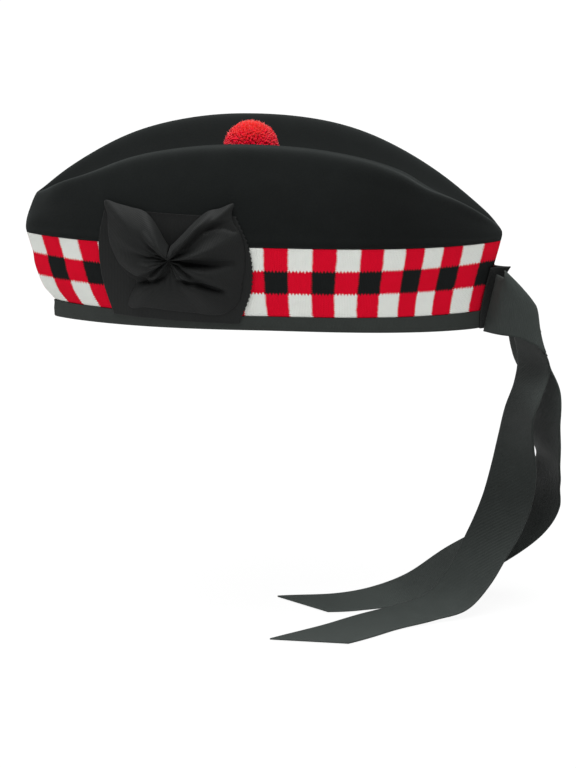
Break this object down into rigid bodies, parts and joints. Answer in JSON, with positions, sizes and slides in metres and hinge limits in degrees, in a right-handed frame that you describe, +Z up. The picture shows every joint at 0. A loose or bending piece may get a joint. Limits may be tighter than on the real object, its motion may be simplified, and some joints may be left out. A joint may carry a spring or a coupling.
{
  "type": "glengarry cap",
  "caption": "Felted wool glengarry with a creased crown, diced band, ribbon cockade, pompom and hanging ribbon tails.",
  "frame": {"origin": "middle of the head opening, level with the cap's lower edge at the sides", "axes": "+X from the front of the cap to its back, +Y to the wearer's right, +Z up"},
  "size_m": [0.3294, 0.1479, 0.3011],
  "materials": {
    "felt": "matte felted wool",
    "dicing": "knitted wool with red, white and black dice",
    "ribbon": "fine ribbed ribbon with a soft sheen",
    "yarn": "cut wool yarn"
  },
  "bodies": {
    "root": {"crown": "felt", "diced_band": "dicing", "edge_binding": "ribbon", "cockade_base": "ribbon", "cockade_bow": "ribbon", "back_tie": "ribbon", "tail_near": "ribbon", "tail_far": "ribbon", "toorie": "yarn"}
  },
  "joints": []
}
